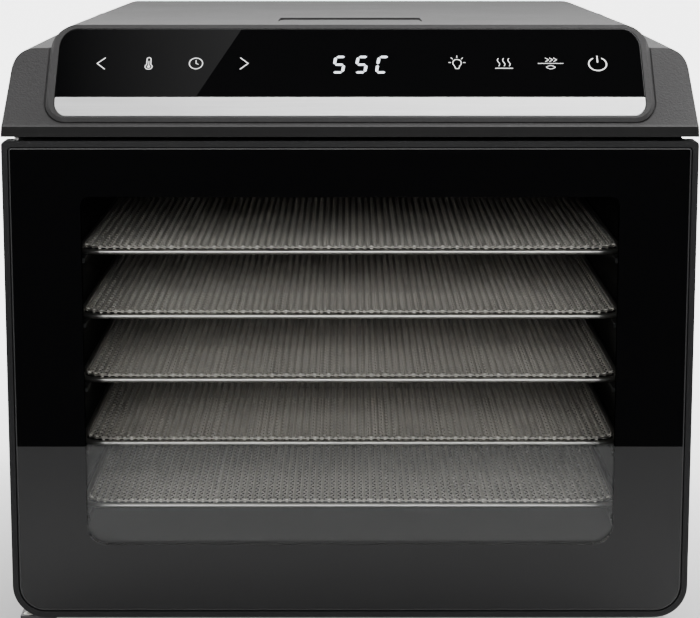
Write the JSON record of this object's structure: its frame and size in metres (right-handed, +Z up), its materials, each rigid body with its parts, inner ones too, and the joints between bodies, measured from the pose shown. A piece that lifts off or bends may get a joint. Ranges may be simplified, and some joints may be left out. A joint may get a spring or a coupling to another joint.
{
  "type": "food dehydrator",
  "caption": "Countertop box food dehydrator: slanted touch panel head over a drying chamber with sliding wire trays, a side-hinged glass door and a rear fan with heater.",
  "frame": {"origin": "middle of the footprint, on the surface that the feet stand on", "axes": "+X to the right seen from the front, -Y out of the front door, +Z up"},
  "size_m": [0.34, 0.38, 0.3029],
  "materials": {
    "charcoal_plastic": "fine moulded texture, satin",
    "black_plastic": "fine texture",
    "rim_plastic": "satin dark grey",
    "painted_steel": "charcoal powder coat",
    "chamber_black": "black enamel, satin",
    "stainless_wire": "bright drawn stainless wire",
    "brushed_trim": "brushed along its length",
    "bare_steel": "plain mill finish",
    "door_glass": "clear toughened glass with a black printed border",
    "panel_glass": "black touch glass, polished",
    "rubber": "matte",
    "heater_steel": "heat-darkened sheath",
    "circuit_board": "green solder mask",
    "nylon": "natural nylon",
    "lamp_glass": "frosted"
  },
  "bodies": {
    "housing": {"base_pan": "painted_steel", "front_left_foot": "rubber", "front_right_foot": "rubber", "rear_left_foot": "rubber", "rear_right_foot": "rubber", "left_side_panel": "painted_steel", "right_side_panel": "painted_steel", "top_deck": "painted_steel", "front_bezel": "black_plastic", "door_seal": "rubber", "chamber_ceiling": "chamber_black", "chamber_floor": "chamber_black", "lamp_lens": "lamp_glass", "lamp_holder": "nylon", "left_tray_rack": "chamber_black", "right_tray_rack": "chamber_black", "fan_guard": "chamber_black", "heating_coil": "heater_steel", "heater_bracket": "bare_steel", "fan_bulkhead": "bare_steel", "motor_bracket": "bare_steel", "fan_motor": "bare_steel", "thermal_cutout": "bare_steel", "temperature_probe": "stainless_wire", "rear_cover": "painted_steel", "cord_gland": "black_plastic", "head_cover": "charcoal_plastic", "control_glass": "panel_glass", "trim_strip": "brushed_trim", "touch_board": "circuit_board", "display_module": "black_plastic", "power_board": "circuit_board", "upper_hinge_bracket": "bare_steel", "upper_hinge_bush": "nylon", "upper_magnet": "bare_steel", "lower_hinge_bracket": "bare_steel", "lower_hinge_bush": "nylon", "lower_magnet": "bare_steel"},
    "door": {"door_frame": "rim_plastic", "door_glass": "door_glass", "door_inner_trim": "black_plastic", "upper_hinge_pin": "bare_steel", "lower_hinge_pin": "bare_steel", "upper_catch_plate": "bare_steel", "lower_catch_plate": "bare_steel"},
    "fan": {"fan_impeller": "bare_steel", "fan_nut": "bare_steel", "motor_shaft": "bare_steel"},
    "tray_1": {"tray_frame_1": "stainless_wire", "tray_mesh_1": "stainless_wire"},
    "tray_2": {"tray_frame_2": "stainless_wire", "tray_mesh_2": "stainless_wire"},
    "tray_3": {"tray_frame_3": "stainless_wire", "tray_mesh_3": "stainless_wire"},
    "tray_4": {"tray_frame_4": "stainless_wire", "tray_mesh_4": "stainless_wire"},
    "tray_5": {"tray_frame_5": "stainless_wire", "tray_mesh_5": "stainless_wire"}
  },
  "joints": [
    {"name": "door_hinge", "type": "hinge", "parent": "housing", "child": "door", "pos_m": [-0.163, -0.182, 0.13], "axis": [0, 0, -1], "range_deg": [0, 120]},
    {"name": "fan_spin", "type": "hinge", "parent": "housing", "child": "fan", "pos_m": [0, 0.125, 0.133], "axis": [0, 1, 0], "continuous": true},
    {"name": "tray_1_slide", "type": "slide", "parent": "housing", "child": "tray_1", "axis": [0, -1, 0], "range_m": [0, 0.0305]},
    {"name": "tray_2_slide", "type": "slide", "parent": "housing", "child": "tray_2", "axis": [0, -1, 0], "range_m": [0, 0.0455]},
    {"name": "tray_3_slide", "type": "slide", "parent": "housing", "child": "tray_3", "axis": [0, -1, 0], "range_m": [0, 0.0605]},
    {"name": "tray_4_slide", "type": "slide", "parent": "housing", "child": "tray_4", "axis": [0, -1, 0], "range_m": [0, 0.0755]},
    {"name": "tray_5_slide", "type": "slide", "parent": "housing", "child": "tray_5", "axis": [0, -1, 0], "range_m": [0, 0.0905]}
  ],
  "couplings": [
    {"joint": "tray_1_slide", "follows": "door_hinge", "m_per_rad": 0.01432},
    {"joint": "tray_2_slide", "follows": "door_hinge", "m_per_rad": 0.02149},
    {"joint": "tray_3_slide", "follows": "door_hinge", "m_per_rad": 0.02865},
    {"joint": "tray_4_slide", "follows": "door_hinge", "m_per_rad": 0.03581},
    {"joint": "tray_5_slide", "follows": "door_hinge", "m_per_rad": 0.04297}
  ]
}
